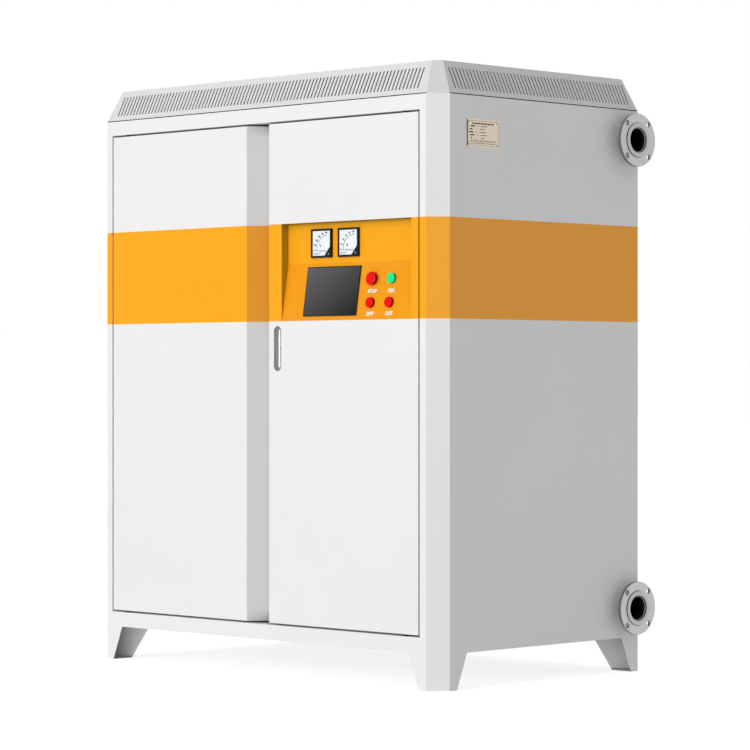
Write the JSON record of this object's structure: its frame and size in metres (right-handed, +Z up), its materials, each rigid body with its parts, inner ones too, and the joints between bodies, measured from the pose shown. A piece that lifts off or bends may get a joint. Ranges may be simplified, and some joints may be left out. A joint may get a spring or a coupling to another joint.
{
  "type": "industrial boiler",
  "caption": "Floor-standing boiler in a white sheet-metal cabinet with a colour band, slotted hood, double doors, control recess and flanged side pipes.",
  "frame": {"origin": "on the floor under the middle of the cabinet, with the pipe flanges left out", "axes": "+X along the front to the viewer's right, +Y from the front to the back, +Z up"},
  "size_m": [1.545, 0.9268, 1.799],
  "materials": {
    "cabinet_paint": "smooth white powder coat with one level band in another colour",
    "inner_sheet": "plain zinc-coated sheet",
    "flange_steel": "turned steel with a ringed sealing face",
    "plate_metal": "thin plain plate with a printed border",
    "pin_steel": "bright turned steel",
    "panel_paint": "smooth orange powder coat",
    "black_plastic": "moulded black",
    "dial_white": "printed white dial",
    "screen_glass": "dark glossy screen",
    "collar_metal": "turned collar",
    "red_plastic": "moulded red",
    "green_plastic": "moulded green",
    "pull_metal": "satin grey"
  },
  "bodies": {
    "cabinet": {"post_front_left": "cabinet_paint", "post_front_right": "cabinet_paint", "post_rear_left": "cabinet_paint", "post_rear_right": "cabinet_paint", "top_rail": "cabinet_paint", "bottom_rail": "cabinet_paint", "side_left": "cabinet_paint", "side_right": "cabinet_paint", "back_panel": "cabinet_paint", "floor_pan": "inner_sheet", "bulkhead": "inner_sheet", "leg_front_left": "cabinet_paint", "leg_front_right": "cabinet_paint", "leg_rear_left": "cabinet_paint", "leg_rear_right": "cabinet_paint", "vent_front": "cabinet_paint", "vent_right": "cabinet_paint", "vent_back": "cabinet_paint", "vent_left": "cabinet_paint", "hood_corner_front_right": "cabinet_paint", "hood_corner_rear_right": "cabinet_paint", "hood_corner_rear_left": "cabinet_paint", "hood_corner_front_left": "cabinet_paint", "hood_top": "cabinet_paint", "upper_pipe": "flange_steel", "lower_pipe": "flange_steel", "rating_plate": "plate_metal", "door_pins": "pin_steel"},
    "left_door": {"left_door": "cabinet_paint", "left_stiffeners": "inner_sheet"},
    "right_door": {"right_door": "cabinet_paint", "right_stiffeners": "inner_sheet", "control_panel": "panel_paint", "meter_frames": "black_plastic", "meter_dials": "dial_white", "touch_screen": "screen_glass", "button_collars": "collar_metal", "cup_pull": "pull_metal"},
    "mushroom_button": {"mushroom_button": "red_plastic"},
    "green_button": {"green_button": "green_plastic"},
    "red_button_left": {"red_button_left": "red_plastic"},
    "red_button_right": {"red_button_right": "red_plastic"}
  },
  "joints": [
    {"name": "left_door_hinge", "type": "hinge", "parent": "cabinet", "child": "left_door", "pos_m": [-0.611, -0.4525, 0.9], "axis": [0, 0, -1], "range_deg": [0, 110]},
    {"name": "right_door_hinge", "type": "hinge", "parent": "cabinet", "child": "right_door", "pos_m": [0.611, -0.4525, 0.9], "axis": [0, 0, 1], "range_deg": [0, 110]},
    {"name": "mushroom_button_press", "type": "slide", "parent": "right_door", "child": "mushroom_button", "axis": [0, 0.9884, -0.1521], "range_m": [0, 0.003], "stiffness_N_per_m": 800, "springref_m": -0.002},
    {"name": "green_button_press", "type": "slide", "parent": "right_door", "child": "green_button", "axis": [0, 0.9884, -0.1521], "range_m": [0, 0.003], "stiffness_N_per_m": 800, "springref_m": -0.002},
    {"name": "red_button_left_press", "type": "slide", "parent": "right_door", "child": "red_button_left", "axis": [0, 0.9884, -0.1521], "range_m": [0, 0.003], "stiffness_N_per_m": 800, "springref_m": -0.002},
    {"name": "red_button_right_press", "type": "slide", "parent": "right_door", "child": "red_button_right", "axis": [0, 0.9884, -0.1521], "range_m": [0, 0.003], "stiffness_N_per_m": 800, "springref_m": -0.002}
  ]
}
